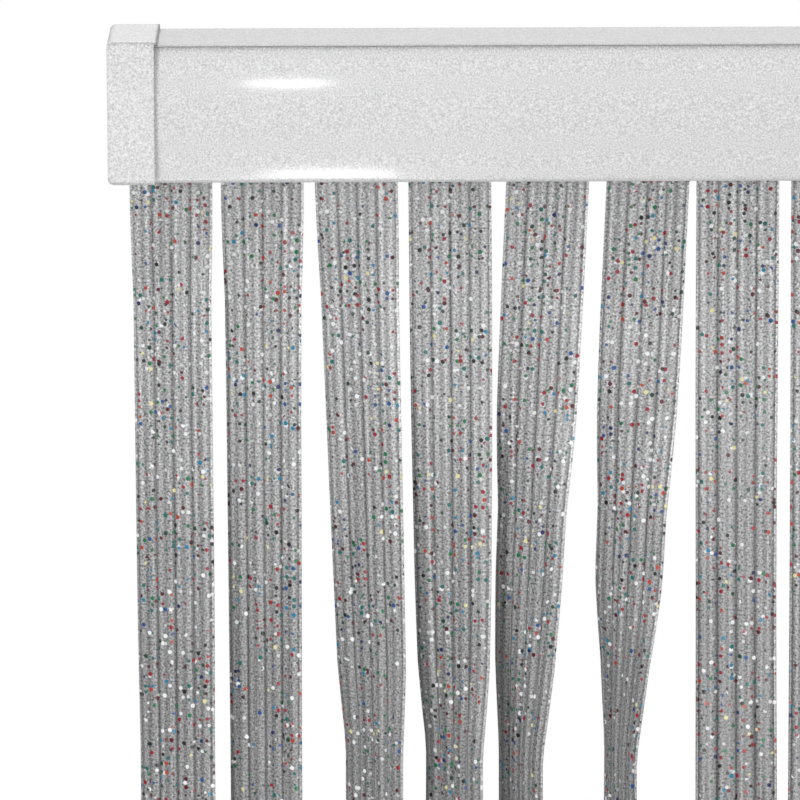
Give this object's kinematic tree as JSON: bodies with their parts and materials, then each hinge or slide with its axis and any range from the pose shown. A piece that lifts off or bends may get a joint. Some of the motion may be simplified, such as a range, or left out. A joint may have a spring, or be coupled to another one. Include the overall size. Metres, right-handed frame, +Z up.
{
  "type": "strip door curtain",
  "caption": "Door curtain of long ribbed smoke-grey plastic strips that hang side by side from a slim white wall rail with end caps.",
  "frame": {"origin": "middle of the rail's back face, which lies against the wall", "axes": "+X along the rail to the right seen from the room, +Y out of the back face into the wall, +Z up"},
  "size_m": [0.8942, 0.0272, 2.0013],
  "materials": {
    "white_lacquer": "white lacquered aluminium, satin gloss",
    "white_plastic": "white moulded plastic, satin",
    "smoke_pvc": "smoke-grey soft PVC, ribbed, with coloured glitter specks",
    "zinc_steel": "zinc-plated",
    "natural_nylon": "natural nylon"
  },
  "bodies": {
    "rail": {"rail_channel": "white_lacquer", "front_fascia": "white_lacquer", "end_cap_left": "white_plastic", "end_cap_right": "white_plastic", "hanger_rod": "zinc_steel", "rod_bracket_1": "natural_nylon", "rod_bracket_2": "natural_nylon", "rod_bracket_3": "natural_nylon", "rod_bracket_4": "natural_nylon", "rod_bracket_5": "natural_nylon", "rod_bracket_6": "natural_nylon", "cap_screw_left_upper": "zinc_steel", "cap_screw_left_lower": "zinc_steel", "cap_screw_right_upper": "zinc_steel", "cap_screw_right_lower": "zinc_steel"},
    "strip_01": {"strip_01": "smoke_pvc"},
    "strip_02": {"strip_02": "smoke_pvc"},
    "strip_03": {"strip_03": "smoke_pvc"},
    "strip_04": {"strip_04": "smoke_pvc"},
    "strip_05": {"strip_05": "smoke_pvc"},
    "strip_06": {"strip_06": "smoke_pvc"},
    "strip_07": {"strip_07": "smoke_pvc"},
    "strip_08": {"strip_08": "smoke_pvc"},
    "strip_09": {"strip_09": "smoke_pvc"},
    "strip_10": {"strip_10": "smoke_pvc"},
    "strip_11": {"strip_11": "smoke_pvc"},
    "strip_12": {"strip_12": "smoke_pvc"},
    "strip_13": {"strip_13": "smoke_pvc"},
    "strip_14": {"strip_14": "smoke_pvc"},
    "strip_15": {"strip_15": "smoke_pvc"},
    "strip_16": {"strip_16": "smoke_pvc"},
    "strip_17": {"strip_17": "smoke_pvc"},
    "strip_18": {"strip_18": "smoke_pvc"},
    "strip_19": {"strip_19": "smoke_pvc"},
    "strip_20": {"strip_20": "smoke_pvc"},
    "strip_21": {"strip_21": "smoke_pvc"},
    "strip_22": {"strip_22": "smoke_pvc"},
    "strip_23": {"strip_23": "smoke_pvc"},
    "strip_24": {"strip_24": "smoke_pvc"},
    "strip_25": {"strip_25": "smoke_pvc"},
    "strip_26": {"strip_26": "smoke_pvc"},
    "strip_27": {"strip_27": "smoke_pvc"},
    "strip_28": {"strip_28": "smoke_pvc"},
    "strip_29": {"strip_29": "smoke_pvc"},
    "strip_30": {"strip_30": "smoke_pvc"},
    "strip_31": {"strip_31": "smoke_pvc"},
    "strip_32": {"strip_32": "smoke_pvc"},
    "strip_33": {"strip_33": "smoke_pvc"},
    "strip_34": {"strip_34": "smoke_pvc"},
    "strip_35": {"strip_35": "smoke_pvc"},
    "strip_36": {"strip_36": "smoke_pvc"},
    "strip_37": {"strip_37": "smoke_pvc"}
  },
  "joints": [
    {"name": "strip_01_swing", "type": "hinge", "parent": "rail", "child": "strip_01", "pos_m": [-0.4317, -0.0122, -0.0117], "axis": [1, 0, 0], "range_deg": [-55, 55]},
    {"name": "strip_02_swing", "type": "hinge", "parent": "rail", "child": "strip_02", "pos_m": [-0.40854, -0.0122, -0.0117], "axis": [1, 0, 0], "range_deg": [-55, 55]},
    {"name": "strip_03_swing", "type": "hinge", "parent": "rail", "child": "strip_03", "pos_m": [-0.38475, -0.0122, -0.0117], "axis": [1, 0, 0], "range_deg": [-55, 55]},
    {"name": "strip_04_swing", "type": "hinge", "parent": "rail", "child": "strip_04", "pos_m": [-0.36102, -0.0122, -0.0117], "axis": [1, 0, 0], "range_deg": [-55, 55]},
    {"name": "strip_05_swing", "type": "hinge", "parent": "rail", "child": "strip_05", "pos_m": [-0.33618, -0.0122, -0.0117], "axis": [1, 0, 0], "range_deg": [-55, 55]},
    {"name": "strip_06_swing", "type": "hinge", "parent": "rail", "child": "strip_06", "pos_m": [-0.31074, -0.0122, -0.0117], "axis": [1, 0, 0], "range_deg": [-55, 55]},
    {"name": "strip_07_swing", "type": "hinge", "parent": "rail", "child": "strip_07", "pos_m": [-0.288, -0.0122, -0.0117], "axis": [1, 0, 0], "range_deg": [-55, 55]},
    {"name": "strip_08_swing", "type": "hinge", "parent": "rail", "child": "strip_08", "pos_m": [-0.264, -0.0122, -0.0117], "axis": [1, 0, 0], "range_deg": [-55, 55]},
    {"name": "strip_09_swing", "type": "hinge", "parent": "rail", "child": "strip_09", "pos_m": [-0.24, -0.0122, -0.0117], "axis": [1, 0, 0], "range_deg": [-55, 55]},
    {"name": "strip_10_swing", "type": "hinge", "parent": "rail", "child": "strip_10", "pos_m": [-0.216, -0.0122, -0.0117], "axis": [1, 0, 0], "range_deg": [-55, 55]},
    {"name": "strip_11_swing", "type": "hinge", "parent": "rail", "child": "strip_11", "pos_m": [-0.192, -0.0122, -0.0117], "axis": [1, 0, 0], "range_deg": [-55, 55]},
    {"name": "strip_12_swing", "type": "hinge", "parent": "rail", "child": "strip_12", "pos_m": [-0.168, -0.0122, -0.0117], "axis": [1, 0, 0], "range_deg": [-55, 55]},
    {"name": "strip_13_swing", "type": "hinge", "parent": "rail", "child": "strip_13", "pos_m": [-0.144, -0.0122, -0.0117], "axis": [1, 0, 0], "range_deg": [-55, 55]},
    {"name": "strip_14_swing", "type": "hinge", "parent": "rail", "child": "strip_14", "pos_m": [-0.12, -0.0122, -0.0117], "axis": [1, 0, 0], "range_deg": [-55, 55]},
    {"name": "strip_15_swing", "type": "hinge", "parent": "rail", "child": "strip_15", "pos_m": [-0.096, -0.0122, -0.0117], "axis": [1, 0, 0], "range_deg": [-55, 55]},
    {"name": "strip_16_swing", "type": "hinge", "parent": "rail", "child": "strip_16", "pos_m": [-0.072, -0.0122, -0.0117], "axis": [1, 0, 0], "range_deg": [-55, 55]},
    {"name": "strip_17_swing", "type": "hinge", "parent": "rail", "child": "strip_17", "pos_m": [-0.048, -0.0122, -0.0117], "axis": [1, 0, 0], "range_deg": [-55, 55]},
    {"name": "strip_18_swing", "type": "hinge", "parent": "rail", "child": "strip_18", "pos_m": [-0.024, -0.0122, -0.0117], "axis": [1, 0, 0], "range_deg": [-55, 55]},
    {"name": "strip_19_swing", "type": "hinge", "parent": "rail", "child": "strip_19", "pos_m": [0, -0.0122, -0.0117], "axis": [1, 0, 0], "range_deg": [-55, 55]},
    {"name": "strip_20_swing", "type": "hinge", "parent": "rail", "child": "strip_20", "pos_m": [0.024, -0.0122, -0.0117], "axis": [1, 0, 0], "range_deg": [-55, 55]},
    {"name": "strip_21_swing", "type": "hinge", "parent": "rail", "child": "strip_21", "pos_m": [0.048, -0.0122, -0.0117], "axis": [1, 0, 0], "range_deg": [-55, 55]},
    {"name": "strip_22_swing", "type": "hinge", "parent": "rail", "child": "strip_22", "pos_m": [0.072, -0.0122, -0.0117], "axis": [1, 0, 0], "range_deg": [-55, 55]},
    {"name": "strip_23_swing", "type": "hinge", "parent": "rail", "child": "strip_23", "pos_m": [0.096, -0.0122, -0.0117], "axis": [1, 0, 0], "range_deg": [-55, 55]},
    {"name": "strip_24_swing", "type": "hinge", "parent": "rail", "child": "strip_24", "pos_m": [0.12, -0.0122, -0.0117], "axis": [1, 0, 0], "range_deg": [-55, 55]},
    {"name": "strip_25_swing", "type": "hinge", "parent": "rail", "child": "strip_25", "pos_m": [0.144, -0.0122, -0.0117], "axis": [1, 0, 0], "range_deg": [-55, 55]},
    {"name": "strip_26_swing", "type": "hinge", "parent": "rail", "child": "strip_26", "pos_m": [0.168, -0.0122, -0.0117], "axis": [1, 0, 0], "range_deg": [-55, 55]},
    {"name": "strip_27_swing", "type": "hinge", "parent": "rail", "child": "strip_27", "pos_m": [0.192, -0.0122, -0.0117], "axis": [1, 0, 0], "range_deg": [-55, 55]},
    {"name": "strip_28_swing", "type": "hinge", "parent": "rail", "child": "strip_28", "pos_m": [0.216, -0.0122, -0.0117], "axis": [1, 0, 0], "range_deg": [-55, 55]},
    {"name": "strip_29_swing", "type": "hinge", "parent": "rail", "child": "strip_29", "pos_m": [0.24, -0.0122, -0.0117], "axis": [1, 0, 0], "range_deg": [-55, 55]},
    {"name": "strip_30_swing", "type": "hinge", "parent": "rail", "child": "strip_30", "pos_m": [0.264, -0.0122, -0.0117], "axis": [1, 0, 0], "range_deg": [-55, 55]},
    {"name": "strip_31_swing", "type": "hinge", "parent": "rail", "child": "strip_31", "pos_m": [0.288, -0.0122, -0.0117], "axis": [1, 0, 0], "range_deg": [-55, 55]},
    {"name": "strip_32_swing", "type": "hinge", "parent": "rail", "child": "strip_32", "pos_m": [0.312, -0.0122, -0.0117], "axis": [1, 0, 0], "range_deg": [-55, 55]},
    {"name": "strip_33_swing", "type": "hinge", "parent": "rail", "child": "strip_33", "pos_m": [0.336, -0.0122, -0.0117], "axis": [1, 0, 0], "range_deg": [-55, 55]},
    {"name": "strip_34_swing", "type": "hinge", "parent": "rail", "child": "strip_34", "pos_m": [0.36, -0.0122, -0.0117], "axis": [1, 0, 0], "range_deg": [-55, 55]},
    {"name": "strip_35_swing", "type": "hinge", "parent": "rail", "child": "strip_35", "pos_m": [0.384, -0.0122, -0.0117], "axis": [1, 0, 0], "range_deg": [-55, 55]},
    {"name": "strip_36_swing", "type": "hinge", "parent": "rail", "child": "strip_36", "pos_m": [0.408, -0.0122, -0.0117], "axis": [1, 0, 0], "range_deg": [-55, 55]},
    {"name": "strip_37_swing", "type": "hinge", "parent": "rail", "child": "strip_37", "pos_m": [0.432, -0.0122, -0.0117], "axis": [1, 0, 0], "range_deg": [-55, 55]}
  ]
}
